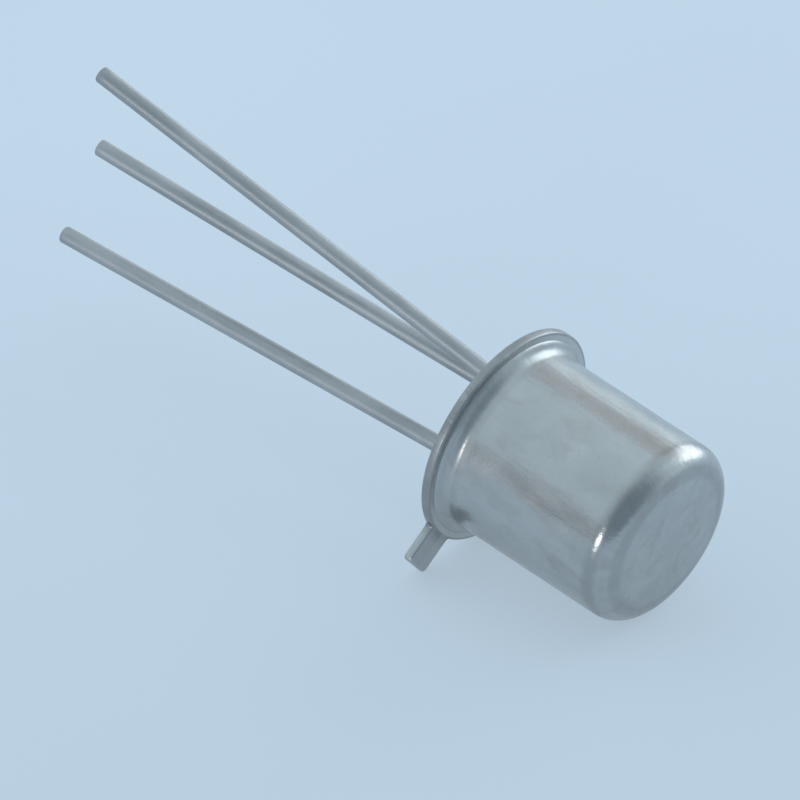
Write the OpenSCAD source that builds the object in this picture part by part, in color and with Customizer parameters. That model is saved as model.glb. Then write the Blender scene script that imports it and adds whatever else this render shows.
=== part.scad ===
// Junction field-effect transistor in a TO-18 metal can, with three wire leads.
//
// Each piece is drawn in the package's own frame: the origin is the centre of the seating
// plane under the header flange, +Z runs along the can's axis to its closed end, and +X
// points at the locating tab. lay() then puts the transistor down as it comes to rest on
// the plane z = 0: on the edge of the header flange, the rounded rim of the can and a
// corner of the tab, with the can's closed end over +X.

/* [Can] */
// Outer diameter of the can
can_d = 4.7; // [4.52:0.01:4.95]
// Height of the can's closed end above the seating plane
overall_h = 5.28; // [4.4:0.01:5.33]
// Thickness of the drawn wall and of the closed end
can_t = 0.2; // [0.12:0.01:0.25]
// Outer radius between the wall and the closed end
can_corner_r = 0.6; // [0.3:0.01:0.8]
// Thickness of the flange that is welded to the header
weld_flange_t = 0.2; // [0.14:0.01:0.25]
// Radius on the outer edge of the weld flange
weld_edge_r = 0.06; // [0.02:0.01:0.1]
// Largest outer fillet between the weld flange and the wall
can_foot_r = 0.27; // [0.1:0.01:0.3]
// Radius inside the mouth of the can
can_mouth_r = 0.12; // [0.05:0.01:0.15]

/* [Header] */
// Diameter of the header flange
header_d = 5.6; // [5.4:0.01:5.84]
// Thickness of the sheet that the header is stamped from
header_t = 0.25; // [0.2:0.01:0.3]
// Width of header flange that shows outside the weld flange
weld_step = 0.12; // [0.06:0.01:0.15]
// Height of the raised platform above the seating plane
platform_h = 1.05; // [0.8:0.01:1.3]
// Radius on the platform's top edge
platform_corner_r = 0.2; // [0.1:0.01:0.24]
// Clearance between the platform's side and the can
platform_gap = 0.1; // [0.08:0.01:0.15]
// Largest fillet where the flange turns up into the platform's side
header_bend_r = 0.06; // [0.02:0.01:0.08]

/* [Locating tab] */
// Width of the tab
tab_w = 0.95; // [0.91:0.01:1.17]
// Length of the tab beyond the header flange
tab_l = 0.94; // [0.71:0.01:1.22]
// Radius on the tab's corners
tab_corner_r = 0.12; // [0.04:0.01:0.3]

/* [Leads] */
// Diameter of a lead
lead_d = 0.42; // [0.41:0.01:0.53]
// Diameter of the circle that the leads stand on
lead_circle_d = 2.54; // [2.4:0.01:2.6]
// Angle of the source, drain and gate leads from the tab
lead_angle = [45, 135, 225]; // [0:1:360]
// Length of a lead below the seating plane
lead_l = 12.9; // [12.7:0.1:20]
// Lean of the source, drain and gate leads from the can's axis
lead_lean = [3.6, 5.7, 8.1]; // [0.5:0.1:9]
// Direction of each lean, measured from the tab
lean_angle = [-4, -68, -119]; // [-180:1:180]
// Radius that a lead is bent to where it leaves the header
lead_bend_r = 2; // [0.5:0.1:3]
// Amount that a lead's radius thins in its bend
bend_thinning = 0.005; // [0.003:0.001:0.01]
// Chamfer on the cut end of a lead
lead_tip_chamfer = 0.04; // [0.02:0.01:0.1]
// Height of the source and drain posts above the platform
post_h = 0.45; // [0.3:0.01:0.8]

/* [Glass seal] */
// Width of the glass ring between a lead and the platform's metal
seal_gap = 0.22; // [0.15:0.01:0.24]
// Depth of the glass below the seating plane's metal
glass_recess = 0.08; // [0.04:0.01:0.12]
// Radius of the glass drawn down around each lead
glass_meniscus_r = 0.07; // [0.03:0.01:0.1]

/* [Die and bond wires] */
// Side of the square silicon die
die_side = 0.5; // [0.35:0.01:0.6]
// Thickness of the die
die_t = 0.18; // [0.1:0.01:0.3]
// Margin of the gold preform around the die
attach_margin = 0.04; // [0.02:0.01:0.08]
// Thickness of the gold preform
attach_t = 0.02; // [0.01:0.01:0.04]
// Distance of the source and drain pads from the die's centre
pad_offset = 0.13; // [0.08:0.01:0.16]
// Diameter of a bond wire
wire_d = 0.03; // [0.025:0.005:0.05]
// Rise of a bond wire's loop above the straight line between its ends
wire_rise = 0.35; // [0.2:0.01:0.5]
// Diameter of the pressed foot at each end of a bond wire
wire_foot_d = 0.09; // [0.08:0.01:0.14]

/* [Hidden] */
$fn = 96;

nickel = "#9ba9ae";
kovar = "#87949b";
lead_grey = "#8b979d";
sealing_glass = "#3c4a55";
silicon = "#4b4f5c";
gold = "#d4af57";

// The can: its radii and the level of its inner end
can_r = can_d / 2;
can_in_r = can_r - can_t;
can_in_top = overall_h - can_t;
can_in_corner_r = can_corner_r - can_t;
can_corner_x = can_r - can_corner_r;
can_corner_z = overall_h - can_corner_r;

// The weld flange rests on the header flange and stops weld_step short of its edge
header_r = header_d / 2;
weld_r = header_r - weld_step;
weld_top = header_t + weld_flange_t;
foot_r = min(can_foot_r, weld_r - weld_edge_r - can_r);

// The header's cup, which the glass fills
platform_r = can_in_r - platform_gap;
platform_flat_r = platform_r - platform_corner_r;
cup_r = platform_r - header_t;
cup_top = platform_h - header_t;
bend_r = min(header_bend_r, platform_gap);

// The tab's reach from the axis
tab_end = header_r + tab_l;
tab_root = header_r - tab_l / 2;

// The leads and their seals
lead_r = lead_d / 2;
lead_circle_r = lead_circle_d / 2;
seal_r = lead_r + seal_gap;
post_top = platform_h + post_h;
bend_run_in = 0.05;

// Turn of the seam line in the can's round faces, in degrees from the tab
can_seam_turn = 3;

// The die and its wires
die_z = platform_h + attach_t;
die_top = die_z + die_t;
wire_foot_h = wire_d;

// Lie of the package: the line that touches the header's upper edge and the can's rim
// tilts the axis down by lay_tilt, and the tab's corner stops it at lay_roll from the tab.
rim_dx = header_r - can_corner_x;
rim_dz = can_corner_z - header_t;
lay_tilt = acos(can_corner_r / norm([rim_dx, rim_dz])) - atan2(rim_dz, rim_dx);
tab_corner_x = tab_end - tab_corner_r;
tab_corner_y = tab_w / 2 - tab_corner_r;
lay_roll = atan2(tab_corner_y, tab_corner_x)
    + acos((header_r - tab_corner_r) / norm([tab_corner_x, tab_corner_y]));

// Shift that centres the laid transistor over the origin and stands it on z = 0
lead_tips_x = min([for (i = [0:2]) laid_x(lead_tip(i))]);
can_end_x = can_corner_x * sin(lay_tilt) + can_corner_z * cos(lay_tilt) + can_corner_r;
tab_reach_y = tab_corner_x * sin(lay_roll) + tab_corner_y * cos(lay_roll) + tab_corner_r;
lay_x = -(lead_tips_x + can_end_x) / 2;
lay_y = (tab_reach_y - header_r) / 2;
lay_z = header_r * cos(lay_tilt) + header_t * sin(lay_tilt);

// A lead's arc and straight stretch
function bend_length(i) = lead_bend_r * lead_lean[i] * PI / 180;
function straight_length(i) = lead_l - bend_length(i);
function lead_foot(i) = lead_circle_r * [cos(lead_angle[i]), sin(lead_angle[i]), 0];
function lean_side(i) = lead_bend_r * (1 - cos(lead_lean[i])) + straight_length(i) * sin(lead_lean[i]);
function lean_drop(i) = lead_bend_r * sin(lead_lean[i]) + straight_length(i) * cos(lead_lean[i]);
function lead_tip(i) = lead_foot(i)
    + [lean_side(i) * cos(lean_angle[i]), lean_side(i) * sin(lean_angle[i]), -lean_drop(i)];

// Place of a package point along the laid X axis, before the shift
function laid_x(p) = p.z * cos(lay_tilt)
    - (p.x * cos(lay_roll) + p.y * sin(lay_roll)) * sin(lay_tilt);

// Puts the package down on the plane z = 0
module lay() {
    translate([lay_x, lay_y, lay_z])
        rotate([0, 90 + lay_tilt, 0])
            rotate([0, 0, -lay_roll])
                children();
}

// Places what stands at lead i's foot
module at_lead(i) {
    translate(lead_foot(i)) children();
}

// Quarter-round fillet that fills the corner at the origin, towards +X and +Y
module fillet_2d(r) {
    difference() {
        square(r);
        translate([r, r]) circle(r);
    }
}

// Half profile of a round plug of radius r and height h with a rounded top edge
module rounded_plug_2d(r, h, edge_r) {
    square([r, h - edge_r]);
    square([r - edge_r, h]);
    translate([r - edge_r, h - edge_r]) circle(edge_r);
}

// Drawn can: wall, closed end and weld flange in one piece
module can_profile() {
    difference() {
        union() {
            rounded_plug_2d(can_r, overall_h, can_corner_r);
            rounded_plug_2d(weld_r, weld_top, weld_edge_r);
            translate([can_r, weld_top]) fillet_2d(foot_r);
        }
        rounded_plug_2d(can_in_r, can_in_top, can_in_corner_r);
        square([header_r, header_t]);
        translate([can_in_r, header_t]) fillet_2d(can_mouth_r);
    }
}

module can() {
    color(nickel) lay() rotate([0, 0, can_seam_turn]) rotate_extrude() can_profile();
}

// Stamped header: flange, turned-up side and platform in one sheet
module header_profile() {
    difference() {
        union() {
            square([header_r, header_t]);
            rounded_plug_2d(platform_r, platform_h, platform_corner_r);
            translate([platform_r, header_t]) fillet_2d(bend_r);
        }
        square([cup_r, cup_top]);
        translate([cup_r, 0]) fillet_2d(header_t);
    }
}

// Flat tab with two rounded corners, rooted in the flange
module tab() {
    linear_extrude(header_t) {
        translate([tab_root, -tab_w / 2])
            square([tab_end - tab_corner_r - tab_root, tab_w]);
        translate([tab_root, -tab_corner_y])
            square([tab_end - tab_root, 2 * tab_corner_y]);
        for (side = [-1, 1])
            translate([tab_corner_x, side * tab_corner_y]) circle(tab_corner_r);
    }
}

module header_eyelet() {
    color(kovar) lay() difference() {
        union() {
            rotate_extrude() header_profile();
            tab();
        }
        for (i = [0, 1])
            at_lead(i) translate([0, 0, cup_top / 2]) cylinder(h = platform_h, r = seal_r);
    }
}

// Glass that fills the header's cup up to the recess, out to the turned-up side
module glass_profile() {
    translate([0, glass_recess]) square([cup_r, cup_top - glass_recess]);
    intersection() {
        translate([cup_r, 0]) fillet_2d(header_t);
        translate([cup_r, glass_recess]) square(header_t);
    }
}

// Glass drawn down around a lead below the recess
module meniscus() {
    translate([0, 0, glass_recess]) mirror([0, 0, 1]) rotate_extrude()
        translate([lead_r, 0]) fillet_2d(glass_meniscus_r);
}

module glass_seal() {
    color(sealing_glass) lay() difference() {
        union() {
            rotate_extrude() glass_profile();
            for (i = [0, 1])
                at_lead(i) translate([0, 0, cup_top / 2])
                    cylinder(h = platform_h - cup_top / 2, r = seal_r);
            for (i = [0:2])
                at_lead(i) meniscus();
        }
        for (i = [0:2])
            at_lead(i) cylinder(h = platform_h, r = lead_r);
    }
}

// Round wire through the header, bent once where it leaves it and cut off square
module lead(i, top) {
    at_lead(i) {
        cylinder(h = top, r = lead_r);
        rotate([0, 0, lean_angle[i]]) {
            lead_bend(lead_lean[i]);
            translate([lead_bend_r * (1 - cos(lead_lean[i])), 0, -lead_bend_r * sin(lead_lean[i])])
                rotate([0, 180 - lead_lean[i], 0]) straight_stretch(straight_length(i));
        }
    }
}

// The wire thins by bend_thinning where it is bent, and the bend runs on inside both ends
module lead_bend(lean) {
    run_in = bend_run_in / lead_bend_r * 180 / PI;
    translate([lead_bend_r, 0, 0]) rotate([90, 0, 0]) rotate([0, 0, 180 - run_in])
        rotate_extrude(angle = lean + 2 * run_in)
            translate([lead_bend_r, 0]) circle(lead_r - bend_thinning);
}

module straight_stretch(l) {
    rotate_extrude() polygon([
        [0, 0], [lead_r, 0], [lead_r, l - lead_tip_chamfer], [lead_r - lead_tip_chamfer, l], [0, l]
    ]);
}

module source_lead() {
    color(lead_grey) lay() lead(0, post_top);
}

module drain_lead() {
    color(lead_grey) lay() lead(1, post_top);
}

// The gate lead is welded to the underside of the platform, so the can is at the gate
module gate_lead() {
    color(lead_grey) lay() lead(2, cup_top);
}

module die_attach() {
    attach_side = die_side + 2 * attach_margin;
    color(gold) lay() translate([-attach_side / 2, -attach_side / 2, platform_h])
        cube([attach_side, attach_side, attach_t]);
}

module die() {
    color(silicon) lay() translate([-die_side / 2, -die_side / 2, die_z])
        cube([die_side, die_side, die_t]);
}

// Wire looped from the die's pad to the top of lead i's post, in the plane of the two
module bond_wire(i) {
    pad = [pad_offset, die_top + wire_foot_h / 2];
    post = [lead_circle_r, post_top + wire_foot_h / 2];
    half_chord = norm(post - pad) / 2;
    loop_r = (half_chord * half_chord + wire_rise * wire_rise) / (2 * wire_rise);
    chord_angle = atan2(post.y - pad.y, post.x - pad.x);
    centre = (pad + post) / 2 + (loop_r - wire_rise) * [sin(chord_angle), -cos(chord_angle)];
    half_span = atan2(half_chord, loop_r - wire_rise);
    rotate([0, 0, lead_angle[i]]) {
        translate([centre.x, 0, centre.y]) rotate([90, 0, 0])
            rotate([0, 0, 90 + chord_angle - half_span])
                rotate_extrude(angle = 2 * half_span) translate([loop_r, 0]) circle(d = wire_d);
        translate([pad.x, 0, die_top]) cylinder(h = wire_foot_h, d = wire_foot_d);
        translate([post.x, 0, post_top]) cylinder(h = wire_foot_h, d = wire_foot_d);
    }
}

module source_bond_wire() {
    color(gold) lay() bond_wire(0);
}

module drain_bond_wire() {
    color(gold) lay() bond_wire(1);
}

can();
header_eyelet();
glass_seal();
source_lead();
drain_lead();
gate_lead();
die_attach();
die();
source_bond_wire();
drain_bond_wire();
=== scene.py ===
"""Looks of the junction field-effect transistor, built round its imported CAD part.

Shapes are drawn in millimetres in the package's own frame, as in part.scad: the origin is
the centre of the seating plane, +Z runs to the can's closed end and +X points at the tab.
to_row() lays them down where the CAD lies, in metres.
"""

import math

import bmesh
import bpy
import numpy as np
from mathutils import Matrix, Vector
from mathutils.geometry import delaunay_2d_cdt

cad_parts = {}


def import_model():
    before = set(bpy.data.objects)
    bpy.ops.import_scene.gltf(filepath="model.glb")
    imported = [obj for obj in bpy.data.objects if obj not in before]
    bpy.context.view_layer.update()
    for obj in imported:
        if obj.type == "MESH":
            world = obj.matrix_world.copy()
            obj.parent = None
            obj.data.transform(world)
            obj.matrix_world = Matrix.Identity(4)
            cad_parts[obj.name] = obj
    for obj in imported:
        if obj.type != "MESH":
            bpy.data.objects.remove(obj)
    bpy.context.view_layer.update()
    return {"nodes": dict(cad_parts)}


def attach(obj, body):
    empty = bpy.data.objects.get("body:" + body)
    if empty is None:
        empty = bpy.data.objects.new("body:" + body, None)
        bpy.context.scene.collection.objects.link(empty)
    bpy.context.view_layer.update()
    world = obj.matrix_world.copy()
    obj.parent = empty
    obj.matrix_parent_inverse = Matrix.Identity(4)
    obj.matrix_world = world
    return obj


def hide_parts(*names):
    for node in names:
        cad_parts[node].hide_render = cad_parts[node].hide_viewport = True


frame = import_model()

# The sizes that part.scad has too, in millimetres and degrees
CAN_R, CAN_T, OVERALL_H, CAN_CORNER_R, MOUTH_R = 2.35, 0.2, 5.28, 0.6, 0.12
HEADER_R, HEADER_T, HEADER_BEND_R = 2.8, 0.25, 0.06
PLATFORM_H, PLATFORM_R, PLATFORM_CORNER_R = 1.05, 2.05, 0.2
CUP_R, CUP_TOP = 1.8, 0.8
TAB_W, TAB_L, TAB_CORNER_R = 0.95, 0.94, 0.12
GLASS_RECESS, MENISCUS_R = 0.08, 0.07
LEAD_R, LEAD_CIRCLE_R, LEAD_L, LEAD_BEND_R, TIP_CHAMFER = 0.21, 1.27, 12.9, 2.0, 0.04
LEADS = {  # angle, lean, direction of the lean, top of the wire
    "source_lead": (45, 3.6, -4, 1.5),
    "drain_lead": (135, 5.7, -68, 1.5),
    "gate_lead": (225, 8.1, -119, 0.8),
}
LAY_TILT, LAY_ROLL = 5.761221, 48.14159  # dip of the laid axis, turn about it
LAY_SHIFT = (3.7773, 0.1265, 2.811)

# Forms of this script alone. The can's flared foot is softer than part.scad's weld flange,
# and the header's rounded edges, the fillets at the tab's root and the glass's creep are new
FOOT_R, FOOT_TOP, FOOT_LIP_R, FOOT_SLOPE = 0.3, 0.59, 0.22, 62
HEADER_EDGE_R, TAB_ROOT_R = 0.06, 0.1
GLASS_CREEP, GLASS_CREEP_START = 0.025, 1.7

# The meshes: points round each piece, and where the rings on the flat parts lie
CAN_AROUND, FLANGE_AROUND, GLASS_AROUND, LEAD_AROUND = 256, 300, 192, 48
CAN_POLE_R, HEADER_POLE_R, PLATFORM_RINGS, UNDERSIDE_RING_GAP = 0.25, 0.3, (1.4, 0.9), 0.3
GLASS_RINGS, MENISCUS_STEPS = (0.35, 0.62, 1.6, 1.76), (0, 0.06, 0.2, 0.4, 0.65, 1, 1.6)
TIP_STEPS = ((0.985, 0.3), (0.93, 0.7), (0.8, 1))  # shares of LEAD_R and of TIP_CHAMFER

LAY_TURN = (Matrix.Rotation(math.radians(90 + LAY_TILT), 3, "Y")
            @ Matrix.Rotation(-math.radians(LAY_ROLL), 3, "Z"))


def to_row(points):
    """Package points in millimetres to row points in metres."""
    return (np.asarray(points, float) @ np.array(LAY_TURN).T + LAY_SHIFT) / 1000


def arc(cx, cz, r, start, end, steps):
    """Points on an arc in the (r, z) plane, both ends included."""
    angles = np.radians(np.linspace(start, end, steps + 1))
    return [(cx + r * math.cos(a), cz + r * math.sin(a)) for a in angles]


def line(a, b, steps):
    """Points from a to b, both ends included."""
    return [tuple(p) for p in np.linspace(a, b, steps + 1)]


def circle(r, count, cx=0.0, cy=0.0):
    """Points on a circle in the (x, y) plane."""
    turns = np.linspace(0, 2 * math.pi, count, endpoint=False)
    return [(cx + r * math.cos(a), cy + r * math.sin(a)) for a in turns]


def without_repeats(profile):
    """A profile without repeated points."""
    kept = [profile[0]]
    for p in profile[1:]:
        if math.dist(p, kept[-1]) > 1e-6:
            kept.append(p)
    return kept


def ring_faces(rings, around):
    """Quads between rings of points that close on themselves."""
    faces = []
    for i in range(rings - 1):
        a, b = i * around, (i + 1) * around
        for j in range(around):
            k = (j + 1) % around
            faces.append((a + j, a + k, b + k, b + j))
    return faces


def capped(rings, tips):
    """A closed mesh from rings of points: tips are the points that close the first and last."""
    around = len(rings[0])
    faces = ring_faces(len(rings), around)
    for ring, tip in ((0, len(rings) * around), (len(rings) - 1, len(rings) * around + 1)):
        for j in range(around):
            faces.append((tip, ring * around + j, ring * around + (j + 1) % around))
    return np.vstack([*rings, *tips]), faces


def piece(name, mesh_data, node, material, smooth_deg=40):
    """A mesh that rides on the root body and stands for a CAD node. Its edges over smooth_deg
    stay sharp.
    """
    points, faces = mesh_data
    mesh = bpy.data.meshes.new(name)
    mesh.from_pydata(to_row(points).tolist(), [], faces)
    store_package_place(mesh, points)
    face_outwards(mesh)
    mesh.shade_smooth()
    mesh.set_sharp_from_angle(angle=math.radians(smooth_deg))
    mesh.materials.append(material)
    obj = bpy.data.objects.new(name, mesh)
    bpy.context.scene.collection.objects.link(obj)
    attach(obj, "root")
    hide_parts(node)


def store_package_place(mesh, points):
    """Keeps each point's place in the package's frame, in millimetres, for the materials."""
    own = mesh.attributes.new("own", "FLOAT_VECTOR", "POINT")
    own.data.foreach_set("vector", np.asarray(points, np.float32).ravel())


def face_outwards(mesh):
    bm = bmesh.new()
    bm.from_mesh(mesh)
    bmesh.ops.recalc_face_normals(bm, faces=bm.faces)
    bm.to_mesh(mesh)
    bm.free()


# ---------------------------------------------------------------- can


def can_foot():
    """The wall's flared foot: a hollow arc, then a lip that dies into the header's top."""
    slope, flare = math.radians(FOOT_SLOPE), FOOT_LIP_R + FOOT_R
    lip_x = CAN_R + flare * (1 - math.cos(slope)) - FOOT_LIP_R
    lip_z = FOOT_TOP - flare * math.sin(slope)
    sunk = math.degrees(math.asin((HEADER_T - lip_z) / FOOT_LIP_R))
    hollow = arc(CAN_R + FOOT_R, FOOT_TOP, FOOT_R, 180, 180 + FOOT_SLOPE, 12)
    return hollow + arc(lip_x, lip_z, FOOT_LIP_R, FOOT_SLOPE, sunk, 8)


def can_profile():
    """The can's section, from the outside of its closed end round to the inside."""
    inner_r, inner_top = CAN_R - CAN_T, OVERALL_H - CAN_T
    corner_x, corner_z = CAN_R - CAN_CORNER_R, OVERALL_H - CAN_CORNER_R
    inner_corner = CAN_CORNER_R - CAN_T
    section = [(0, OVERALL_H)] + line((CAN_POLE_R, OVERALL_H), (corner_x, OVERALL_H), 10)
    section += arc(corner_x, corner_z, CAN_CORNER_R, 90, 0, 24)
    section += line((CAN_R, corner_z), (CAN_R, FOOT_TOP), 30)
    section += can_foot()
    section += [(inner_r + MOUTH_R, HEADER_T)]
    section += arc(inner_r + MOUTH_R, HEADER_T + MOUTH_R, MOUTH_R, 270, 180, 6)
    section += arc(inner_r - inner_corner, inner_top - inner_corner, inner_corner, 0, 90, 10)
    section += [(0, inner_top)]
    return without_repeats(section)


def can(material):
    profile = can_profile()
    turns = np.linspace(0, 2 * math.pi, CAN_AROUND, endpoint=False)
    rings = [np.c_[r * np.cos(turns), r * np.sin(turns), np.full(CAN_AROUND, z)]
             for r, z in profile[1:-1]]
    tips = [[0, 0, profile[0][1]]], [[0, 0, profile[-1][1]]]
    piece("can_shell", capped(rings, tips), "can", material)


# ---------------------------------------------------------------- header


def tab_side():
    """Half of the tab's outline, from its tip to the flange: places and outward normals."""
    root_x, root_y, root = tab_root()
    tip_x, tip_y = HEADER_R + TAB_L - TAB_CORNER_R, TAB_W / 2 - TAB_CORNER_R
    side = [((tip_x + TAB_CORNER_R, y), (1.0, 0.0)) for y in (0, tip_y / 2)]
    for a in np.linspace(0, math.pi / 2, 9):
        n = (math.cos(a), math.sin(a))
        side.append(((tip_x + TAB_CORNER_R * n[0], tip_y + TAB_CORNER_R * n[1]), n))
    side += [((x, TAB_W / 2), (0.0, 1.0)) for x in np.linspace(tip_x, root_x, 8)[1:-1]]
    for a in np.linspace(-math.pi / 2, root - math.pi, 7)[:-1]:
        n = (-math.cos(a), -math.sin(a))
        side.append(((root_x - TAB_ROOT_R * n[0], root_y - TAB_ROOT_R * n[1]), n))
    return side


def tab_root():
    """Centre of the fillet between the tab's side and the flange, and its angle."""
    y = TAB_W / 2 + TAB_ROOT_R
    x = math.sqrt((HEADER_R + TAB_ROOT_R) ** 2 - y**2)
    return x, y, math.atan2(y, x)


def header_outline():
    """The flange's outline with its tab, anticlockwise: places and outward normals."""
    root = tab_root()[2]
    upper = tab_side()
    turns = np.linspace(root, 2 * math.pi - root, FLANGE_AROUND)
    flange = [((HEADER_R * math.cos(a), HEADER_R * math.sin(a)), (math.cos(a), math.sin(a)))
              for a in turns]
    lower = [((x, -y), (nx, -ny)) for (x, y), (nx, ny) in upper[:0:-1]]
    return flange + lower + upper


def header_rings():
    """Rings of points round the header, from its inner underside round the edge to the top."""
    stations = header_outline()
    at = np.array([place for place, _ in stations])
    out = np.array([normal for _, normal in stations])
    turn = np.arctan2(at[:, 1], at[:, 0])
    spoke = np.c_[np.cos(turn), np.sin(turn)]

    def round_ring(r, z):
        return np.c_[spoke * r, np.full(len(turn), z)]

    def edge_ring(inset, z):
        return np.c_[at - out * inset, np.full(len(turn), z)]

    e, top, quarter = HEADER_EDGE_R, HEADER_T, np.linspace(0, math.pi / 2, 6)
    rings = [round_ring(r, z) for r, z in cup_profile()]
    rings += [edge_ring(e * (1 - math.sin(a)), e * (1 - math.cos(a))) for a in quarter]
    rings += [edge_ring(e * (1 - math.cos(a)), top - e * (1 - math.sin(a))) for a in quarter]
    return rings + [round_ring(r, z) for r, z in platform_profile()]


def cup_profile():
    """The header's underside, from its middle out to the flange."""
    bend_x = CUP_R + HEADER_T
    section = line((HEADER_POLE_R, CUP_TOP), (CUP_R, CUP_TOP), 4)
    section += line((CUP_R, CUP_TOP), (CUP_R, HEADER_T), 4)[1:]
    section += arc(bend_x, HEADER_T, HEADER_T, 180, 270, 10)[1:]
    return section + [(bend_x + UNDERSIDE_RING_GAP, 0), (HEADER_R - 2 * HEADER_EDGE_R, 0)]


def platform_profile():
    """The header's top, from the flange in to the middle of the platform."""
    bend_x, corner_x = PLATFORM_R + HEADER_BEND_R, PLATFORM_R - PLATFORM_CORNER_R
    corner_z = PLATFORM_H - PLATFORM_CORNER_R
    section = [(HEADER_R - 2 * HEADER_EDGE_R, HEADER_T), (bend_x, HEADER_T)]
    section += arc(bend_x, HEADER_T + HEADER_BEND_R, HEADER_BEND_R, 270, 180, 5)[1:]
    section += arc(corner_x, corner_z, PLATFORM_CORNER_R, 0, 90, 8)
    return section + [(r, PLATFORM_H) for r in (*PLATFORM_RINGS, HEADER_POLE_R)]


def header(material):
    tips = [[0, 0, CUP_TOP]], [[0, 0, PLATFORM_H]]
    mesh_data = capped(header_rings(), tips)
    piece("header_flange", mesh_data, "header_eyelet", material)


# ---------------------------------------------------------------- glass


def lead_foot(name):
    """Where a lead's axis crosses the seating plane."""
    angle = math.radians(LEADS[name][0])
    return LEAD_CIRCLE_R * math.cos(angle), LEAD_CIRCLE_R * math.sin(angle)


def glass_edge_r():
    """Radius at which the glass meets the header's turned-up side, which it creeps up."""
    rise = HEADER_T - GLASS_RECESS + GLASS_CREEP
    return CUP_R + HEADER_T - math.sqrt(HEADER_T**2 - rise**2)


def glass_level(x, y):
    """Height of the glass's underside: drawn down round each lead and at the metal."""
    level = GLASS_RECESS
    for name in LEADS:
        away = math.dist((x, y), lead_foot(name)) - LEAD_R
        if away < MENISCUS_R:
            level -= MENISCUS_R - math.sqrt(max(0, MENISCUS_R**2 - (MENISCUS_R - away) ** 2))
    creep = max(0, math.hypot(x, y) - GLASS_CREEP_START) / (glass_edge_r() - GLASS_CREEP_START)
    return level - GLASS_CREEP * creep**2


def off_leads(x, y, reach):
    """Whether a place is further than reach from every lead's axis."""
    return all(math.dist((x, y), lead_foot(name)) > reach for name in LEADS)


def glass_plan():
    """Places for the glass's underside, and the loops of its rim and of its holes."""
    places = circle(glass_edge_r(), GLASS_AROUND)
    loops = [(0, GLASS_AROUND)]
    for name in LEADS:
        loops.append((len(places), LEAD_AROUND))
        for step in MENISCUS_STEPS:
            places += circle(LEAD_R + MENISCUS_R * step, LEAD_AROUND, *lead_foot(name))
    for r in GLASS_RINGS:
        ring = circle(r, int(40 * r) + 8)
        places += [p for p in ring if off_leads(*p, LEAD_R + 2 * MENISCUS_R)]
    return places, loops


def glass(material):
    places, loops = glass_plan()
    edges = [(start + i, start + (i + 1) % count) for start, count in loops for i in range(count)]
    flat, _, triangles, *_ = delaunay_2d_cdt([Vector(p) for p in places], edges, [], 0, 1e-7)
    kept = [tuple(t) for t in triangles if glass_triangle(flat, t)]
    points = [(v.x, v.y, glass_level(v.x, v.y)) for v in flat]
    points += [(v.x, v.y, CUP_TOP) for v in flat]
    count = len(flat)
    faces = kept + [tuple(count + i for i in reversed(t)) for t in kept]
    faces += [(a, b, count + b, count + a) for a, b in boundary(kept)]
    piece("glass_bead", (points, faces), "glass_seal", material)


def glass_triangle(flat, triangle):
    """Whether a triangle is glass. Those in a lead's hole have their middle inside the wire."""
    x, y = (sum(flat[i][axis] for i in triangle) / 3 for axis in (0, 1))
    return off_leads(x, y, LEAD_R * 0.995)


def boundary(triangles):
    """Directed edges that only one triangle uses."""
    sides = {(t[i], t[(i + 1) % 3]) for t in triangles for i in range(3)}
    return [(b, a) for a, b in sides if (b, a) not in sides]


# ---------------------------------------------------------------- leads


def lead_path(name):
    """Stations down a lead's centre line: place, direction and radius."""
    _, lean, lean_dir, top = LEADS[name]
    lean, lean_dir = math.radians(lean), math.radians(lean_dir)
    foot, down = np.array([*lead_foot(name), 0]), np.array([0, 0, -1.0])
    side = np.array([math.cos(lean_dir), math.sin(lean_dir), 0])
    stations = [(foot - down * z, down, LEAD_R) for z in (top, GLASS_RECESS + 0.1, 0.03)]
    for turn in np.linspace(0, lean, 7):
        place = foot + (side * (1 - math.cos(turn)) + down * math.sin(turn)) * LEAD_BEND_R
        stations.append((place, side * math.sin(turn) + down * math.cos(turn), LEAD_R))
    start, way, _ = stations[-1]
    cut = LEAD_L - LEAD_BEND_R * lean - TIP_CHAMFER
    stations += [(start + way * s, way, LEAD_R) for s in np.linspace(0, cut, 60)[1:]]
    for share, s in TIP_STEPS:
        stations.append((start + way * (cut + s * TIP_CHAMFER), way, LEAD_R * share))
    return stations


def lead(name, material):
    rings = []
    for place, way, r in lead_path(name):
        u = np.cross(way, [0.0, 1.0, 0.0])
        u /= np.linalg.norm(u)
        v = np.cross(way, u)
        rings.append(np.array([place + u * a + v * b for a, b in circle(r, LEAD_AROUND)]))
    tips = [rings[0].mean(axis=0)], [rings[-1].mean(axis=0)]
    piece(name + "_wire", capped(rings, tips), name, material, 50)


# ---------------------------------------------------------------- materials


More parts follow.
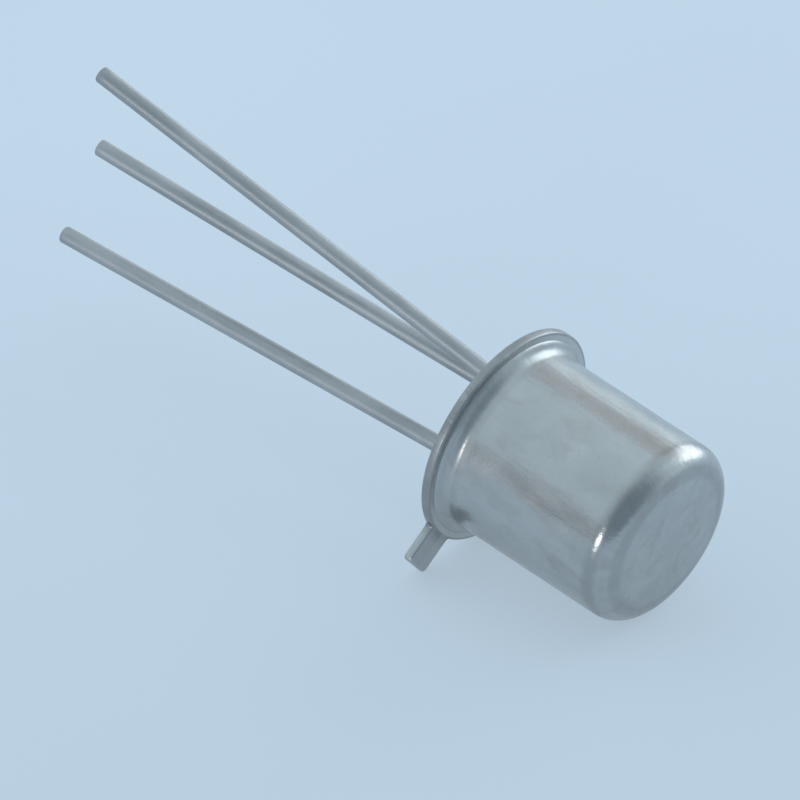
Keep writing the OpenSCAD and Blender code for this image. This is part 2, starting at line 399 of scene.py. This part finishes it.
class Nodes:
    """Short calls for a material's or the world's nodes."""

    def __init__(self, tree):
        self.tree = tree
        tree.nodes.clear()

    def add(self, kind, **given):
        node = self.tree.nodes.new("ShaderNode" + kind)
        for key, value in given.items():
            if key in node.inputs.keys():
                self.feed(value, node.inputs[key])
            else:
                setattr(node, key, value)
        return node

    def feed(self, value, socket):
        if isinstance(value, bpy.types.NodeSocket):
            self.tree.links.new(value, socket)
        else:
            socket.default_value = value

    def math(self, operation, a, b=0.0):
        node = self.tree.nodes.new("ShaderNodeMath")
        node.operation = operation
        self.feed(a, node.inputs[0])
        self.feed(b, node.inputs[1])
        return node.outputs[0]

    def plus(self, a, b):
        return self.math("ADD", a, b)

    def times(self, a, b):
        return self.math("MULTIPLY", a, b)

    def ramp(self, value, low, high, start=0.0, end=1.0):
        """Eases from start to end as value goes from low to high."""
        node = self.tree.nodes.new("ShaderNodeMapRange")
        node.interpolation_type = "SMOOTHSTEP"
        for given, socket in zip((value, low, high, start, end), node.inputs):
            self.feed(given, socket)
        return node.outputs[0]

    def mix(self, factor, a, b, blend="MIX"):
        node = self.tree.nodes.new("ShaderNodeMix")
        node.data_type, node.blend_type = "RGBA", blend
        self.feed(factor, node.inputs[0])
        self.feed(a, node.inputs[6])
        self.feed(b, node.inputs[7])
        return node.outputs[2]

    def noise(self, vector, scale, detail=4.0, roughness=0.55, distortion=0.0):
        return self.add("TexNoise", Vector=vector, Scale=scale, Detail=detail,
                        Roughness=roughness, Distortion=distortion).outputs["Fac"]

    def stretch(self, vector, scale, offset=(0, 0, 0)):
        return self.add("Mapping", Vector=vector, Scale=scale, Location=offset).outputs[0]

    def along(self, vector, axis):
        """How far a vector reaches along a fixed direction."""
        node = self.add("VectorMath", operation="DOT_PRODUCT")
        self.feed(vector, node.inputs[0])
        self.feed(axis, node.inputs[1])
        return node.outputs["Value"]


def new_material(name):
    material = bpy.data.materials.new(name)
    material.use_nodes = True
    return material, Nodes(material.node_tree)


def package_place(n):
    """Package coordinates in millimetres, from the mesh."""
    return n.add("Attribute", attribute_name="own").outputs["Vector"]


def radius_and_height(n, own):
    """Distance from the package's axis and height over the seating plane."""
    x, y, z = n.add("SeparateXYZ", Vector=own).outputs
    return n.math("SQRT", n.plus(n.times(x, x), n.times(y, y))), z


def finish_metal(n, colour, roughness, height, distance):
    """The metal's shader with its bump."""
    bump = n.add("Bump", Height=height, Distance=distance, Strength=1.0)
    shader = n.add("BsdfPrincipled", **{"Base Color": colour, "Roughness": roughness,
                                        "Metallic": 1.0, "Normal": bump.outputs[0]})
    n.add("OutputMaterial", Surface=shader.outputs[0])


def can_material():
    """Drawn, tumbled nickel: faint draw lines along the wall, cloudy tarnish, fine pits, and
    darker rings at the rim that are painted reflection.
    """
    dark, light = (0.475, 0.48, 0.465, 1), (0.54, 0.54, 0.525, 1)
    brown, pit = (0.44, 0.41, 0.39, 1), (0.24, 0.23, 0.22, 1)
    material, n = new_material("drawn_nickel")
    own = package_place(n)
    radius, z = radius_and_height(n, own)
    cloud = n.noise(n.stretch(own, (1, 1, 0.55)), 0.9, 5, 0.6, 0.5)
    blotch = n.noise(n.stretch(own, (1, 1, 0.5), (3.1, 1.7, 0.4)), 1.9, 3, 0.5, 0.6)
    grain = n.noise(own, 26.0, 5, 0.65)
    drawn = n.noise(n.stretch(own, (1, 1, 0.06)), 7.5, 3, 0.5)
    pits = n.ramp(n.noise(own, 9.0, 2, 0.5), 0.68, 0.78)
    tarnish = n.ramp(blotch, 0.5, 0.7, 0.0, 0.5)
    colour = n.mix(n.ramp(cloud, 0.35, 0.65), dark, light)
    colour = n.mix(tarnish, colour, brown)
    colour = n.mix(n.times(pits, 0.3), colour, pit)
    # painted reflection: darker rings on the closed end and on the shoulder
    colour = painted_rim_reflection(n, colour, radius, z, cloud)
    rough = n.plus(n.ramp(cloud, 0.3, 0.7, 0.17, 0.25), n.times(grain, 0.06))
    rough = n.plus(rough, n.times(tarnish, 0.08))
    foot = n.ramp(z, 0.8, 0.68)
    rough = n.plus(rough, n.times(foot, 0.1))
    height = n.plus(n.times(grain, 0.1), n.times(drawn, 0.5))
    height = n.plus(height, n.times(cloud, 1.6))
    finish_metal(n, colour, rough, height, 0.000012)
    return material


def painted_rim_reflection(n, colour, radius, z, cloud):
    """Painted reflection: darker rings on either side of the rounded rim, on the closed end and
    on the shoulder, standing in for the dark surroundings that the metal mirrors there.
    """
    end = n.times(n.ramp(radius, 2.12, 2.0), n.ramp(z, 5.05, 5.15))
    end = n.times(end, n.ramp(radius, 1.62, 1.82))
    colour = n.mix(n.times(end, 0.3), colour, (0.3, 0.29, 0.285, 1))
    shoulder = n.times(n.ramp(z, 4.5, 4.74), n.ramp(z, 5.0, 4.85))
    shoulder = n.times(shoulder, n.ramp(cloud, 0.25, 0.6, 0.3, 0.9))
    return n.mix(n.times(shoulder, 0.45), colour, (0.28, 0.27, 0.26, 1))


def header_material():
    """Nickel-plated Kovar stamping: greyer and flatter than the can, worn on its edges, with
    painted light in a ring round the can's foot.
    """
    dark, light, worn = (0.38, 0.38, 0.37, 1), (0.46, 0.46, 0.45, 1), (0.56, 0.56, 0.54, 1)
    material, n = new_material("plated_stamping")
    own = package_place(n)
    cloud = n.noise(own, 1.3, 5, 0.6, 0.4)
    grain = n.noise(own, 30.0, 5, 0.65)
    rolled = n.noise(n.stretch(own, (1, 0.08, 1)), 14.0, 3, 0.5)
    colour = n.mix(n.ramp(cloud, 0.35, 0.68), dark, light)
    # a darker flange side, painted light round the can's foot, and a lighter tab
    colour = flange_tones_and_painted_light(n, colour, *radius_and_height(n, own))
    edge = n.ramp(n.add("NewGeometry").outputs["Pointiness"], 0.5, 0.56)
    colour = n.mix(n.times(edge, 0.5), colour, worn)
    rough = n.plus(n.ramp(cloud, 0.3, 0.7, 0.3, 0.4), n.times(grain, 0.1))
    height = n.plus(n.times(grain, 0.3), n.times(rolled, 0.5))
    finish_metal(n, colour, rough, height, 0.00001)
    return material


def flange_tones_and_painted_light(n, colour, radius, z):
    """A darker side of the flange; painted light as a bright ring on the header's top round the
    can's foot, where the groove lies in shade; and a lighter tab.
    """
    side = n.times(n.ramp(radius, 2.72, 2.78), n.ramp(radius, 2.92, 2.84))
    colour = n.mix(n.times(side, 0.42), colour, (0.22, 0.22, 0.225, 1))
    # painted light: a bright ring on the header's top round the can's foot that lifts the
    # groove's shade
    step = n.times(n.ramp(radius, 2.76, 2.7), n.ramp(z, 0.2, 0.24))
    colour = n.mix(n.times(step, 0.8), colour, (0.66, 0.66, 0.65, 1))
    return n.mix(n.ramp(radius, 2.9, 3.1, 0.0, 0.6), colour, (0.56, 0.56, 0.56, 1))


def lead_material():
    """Drawn lead wire: dull plating with fine lines along it and darker patches."""
    dark, light = (0.385, 0.39, 0.39, 1), (0.5, 0.5, 0.5, 1)
    material, n = new_material("drawn_wire")
    own = package_place(n)
    cloud = n.noise(n.stretch(own, (1, 1, 0.3)), 1.6, 5, 0.6, 0.3)
    lines = n.noise(n.stretch(own, (1, 1, 0.02)), 22.0, 3, 0.6)
    grain = n.noise(own, 34.0, 4, 0.6)
    colour = n.mix(n.ramp(cloud, 0.33, 0.68), dark, light)
    rough = n.plus(n.ramp(cloud, 0.3, 0.7, 0.36, 0.46), n.times(grain, 0.1))
    height = n.plus(n.times(lines, 0.5), n.times(grain, 0.35))
    finish_metal(n, colour, rough, height, 0.000008)
    return material


def glass_material():
    """Fused sealing glass: dark grey-green, cloudy inside, glossy where it set."""
    dark, light, bubble = (0.035, 0.055, 0.055, 1), (0.085, 0.115, 0.11, 1), (0.2, 0.25, 0.24, 1)
    material, n = new_material("sealing_glass_fused")
    own = package_place(n)
    cloud = n.noise(own, 2.4, 5, 0.6, 0.6)
    bubbles = n.ramp(n.noise(own, 13.0, 2, 0.5), 0.64, 0.72)
    colour = n.mix(cloud, dark, light)
    colour = n.mix(n.times(bubbles, 0.4), colour, bubble)
    rough = n.ramp(cloud, 0.3, 0.7, 0.08, 0.2)
    bump = n.add("Bump", Height=n.plus(cloud, bubbles), Distance=0.00001)
    shader = n.add("BsdfPrincipled", **{"Base Color": colour, "Roughness": rough,
                                        "Normal": bump.outputs[0]})
    shader.inputs["IOR"].default_value = 1.5
    n.add("OutputMaterial", Surface=shader.outputs[0])
    return material


def inside_material(name, dark, light, metallic, rough, scale):
    """Material of a piece sealed in the can: mottled colour and a fine bump."""
    material, n = new_material(name)
    place = n.add("TexCoord").outputs["Object"]
    cloud = n.noise(place, scale, 4, 0.6)
    bump = n.add("Bump", Height=cloud, Distance=0.000003)
    shader = n.add("BsdfPrincipled", **{
        "Base Color": n.mix(cloud, dark, light), "Normal": bump.outputs[0],
        "Roughness": n.ramp(cloud, 0.3, 0.7, rough, rough + 0.12)})
    shader.inputs["Metallic"].default_value = metallic
    n.add("OutputMaterial", Surface=shader.outputs[0])
    return material


def dress_inside():
    """Materials for the CAD solids that the can hides."""
    gold = inside_material("gold_inside", (0.75, 0.5, 0.17, 1), (0.95, 0.68, 0.28, 1),
                           metallic=1, rough=0.2, scale=9000)
    silicon = inside_material("silicon_die", (0.05, 0.055, 0.075, 1), (0.1, 0.1, 0.14, 1),
                              metallic=0, rough=0.12, scale=6000)
    for node, material in (("die_attach", gold), ("die", silicon),
                           ("source_bond_wire", gold), ("drain_bond_wire", gold)):
        mesh = frame["nodes"][node].data
        mesh.materials.clear()
        mesh.materials.append(material)


# ---------------------------------------------------------------- stage

# The camera as fitted to the photo: its place in metres, its axes, and lens and sensor in mm
CAMERA_AT = (0.313672, -0.386772, 0.362064)
CAMERA_RIGHT = (0.7556, 0.6534, 0.0454)
CAMERA_UP = (-0.4115, 0.4197, 0.809)
CAMERA_BACK = (0.5096, -0.63, 0.586)
CAMERA_LENS, CAMERA_SENSOR = 1174.865, 36

FLOOR_Z, FLOOR_HALF = -0.000002, 1.5
FLOOR_COLOUR = (0.572, 0.688, 0.79, 1)
FLOOR_GLOW = 0.62  # share of the floor's look that the object doesn't shade
MIRRORED_GLOW = 0.56  # the same, where the metal mirrors the floor
PAINTED_FLOOR_LIGHT, PAINTED_LIGHT_AZIMUTH, PAINTED_LIGHT_REACH = 0.035, 145, 0.018  # painted light: the floor is lighter one way and darker the other

SKY_LOW, SKY_HIGH = (0.625, 0.78, 0.9, 1), (0.675, 0.835, 0.95, 1)
ROOM = (  # parts of the room that the metal mirrors: azimuth, elevation, radius, softness, tint
    (-38, 26, 12, 68, (0.37, 0.40, 0.43, 1)),
    (120, 38, 6, 13, (0.78, 0.68, 0.64, 1)),
    (-117, 7, 7, 12, (0.56, 0.52, 0.51, 1)),
    (115, 13, 4, 9, (1.3, 1.25, 1.2, 1)),
)


def direction(azimuth, elevation):
    """Unit vector at an azimuth and an elevation in degrees."""
    a, e = math.radians(azimuth), math.radians(elevation)
    return Vector((math.cos(a) * math.cos(e), math.sin(a) * math.cos(e), math.sin(e)))


def floor():
    s, z = FLOOR_HALF, FLOOR_Z
    mesh = bpy.data.meshes.new("floor")
    mesh.from_pydata([(-s, -s, z), (s, -s, z), (s, s, z), (-s, s, z)], [], [(0, 1, 2, 3)])
    mesh.materials.append(floor_material())
    obj = bpy.data.objects.new("floor", mesh)
    bpy.context.scene.collection.objects.link(obj)


def floor_material():
    """Pale, faintly mottled floor that keeps the object's shadow, with painted light that makes
    it lighter one way and darker the other.
    """
    material, n = new_material("pale_floor")
    place = n.add("TexCoord").outputs["Object"]
    mottle = n.ramp(n.noise(place, 60.0, 2, 0.4), 0.2, 0.8, 0.985, 1.015)
    # painted light: the floor's colour lightens towards one side and darkens towards the other
    towards = n.along(place, direction(PAINTED_LIGHT_AZIMUTH, 0))
    painted_light = n.ramp(towards, -PAINTED_LIGHT_REACH, PAINTED_LIGHT_REACH, 1 - PAINTED_FLOOR_LIGHT, 1 + PAINTED_FLOOR_LIGHT)
    level = n.times(mottle, painted_light)
    grey = n.add("CombineColor", Red=level, Green=level, Blue=level).outputs[0]
    colour = n.mix(1.0, FLOOR_COLOUR, grey, "MULTIPLY")
    lit = n.mix(1.0, colour, (1.2, 1.2, 1.2, 1), "MULTIPLY")
    shader = n.add("BsdfPrincipled", **{"Base Color": lit, "Roughness": 0.8})
    shader.inputs["Specular IOR Level"].default_value = 0.1
    glow = n.add("Emission", Color=colour, Strength=1.0)
    ray = n.add("LightPath").outputs
    seen = n.math("MAXIMUM", n.times(ray["Is Camera Ray"], FLOOR_GLOW),
                  n.times(ray["Is Glossy Ray"], MIRRORED_GLOW))
    mixed = n.add("MixShader")
    for source, socket in zip((seen, shader.outputs[0], glow.outputs[0]), mixed.inputs):
        n.feed(source, socket)
    n.add("OutputMaterial", Surface=mixed.outputs[0])
    return material


def world():
    made = bpy.data.worlds.new("room")
    bpy.context.scene.world = made
    made.use_nodes = True
    n = Nodes(made.node_tree)
    look = n.add("TexCoord").outputs["Generated"]
    up = n.add("SeparateXYZ", Vector=look).outputs[2]
    colour = n.mix(n.ramp(up, -0.1, 0.9), SKY_LOW, SKY_HIGH)
    for azimuth, elevation, radius, soft, tint in ROOM:
        inside = n.ramp(n.along(look, direction(azimuth, elevation)),
                        math.cos(math.radians(radius + soft)), math.cos(math.radians(radius)))
        colour = n.mix(inside, colour, n.mix(1.0, colour, tint, "MULTIPLY"))
    background = n.add("Background", Color=colour, Strength=1.0)
    n.add("OutputWorld", Surface=background.outputs[0])


def lamp(name, azimuth, elevation, away, size, power, colour=(1, 1, 1)):
    """A soft elliptical lamp that faces the object, away metres off."""
    light = bpy.data.lights.new(name, "AREA")
    light.shape = "ELLIPSE"
    light.size, light.size_y = size
    light.energy, light.color = power, colour
    obj = bpy.data.objects.new(name, light)
    bpy.context.scene.collection.objects.link(obj)
    back = direction(azimuth, elevation)
    obj.location = back * away
    obj.rotation_euler = back.to_track_quat("Z", "Y").to_euler()


def camera():
    data = bpy.data.cameras.new("camera")
    data.sensor_width, data.lens = CAMERA_SENSOR, CAMERA_LENS
    data.clip_start, data.clip_end = 0.05, 10
    obj = bpy.data.objects.new("camera", data)
    bpy.context.scene.collection.objects.link(obj)
    axes = Matrix((CAMERA_RIGHT, CAMERA_UP, CAMERA_BACK)).transposed().to_4x4()
    obj.matrix_world = Matrix.Translation(CAMERA_AT) @ axes
    bpy.context.scene.camera = obj


can(can_material())
header(header_material())
glass(glass_material())
wire = lead_material()
for lead_name in LEADS:
    lead(lead_name, wire)
dress_inside()
floor()
world()
lamp("window", 84, 19, 0.5, (0.46, 0.32), 0.6, (0.86, 0.95, 1))
lamp("side", -97, 2, 1.0, (0.17, 0.3), 1.4)
camera()
bpy.context.scene.view_settings.view_transform = "Standard"
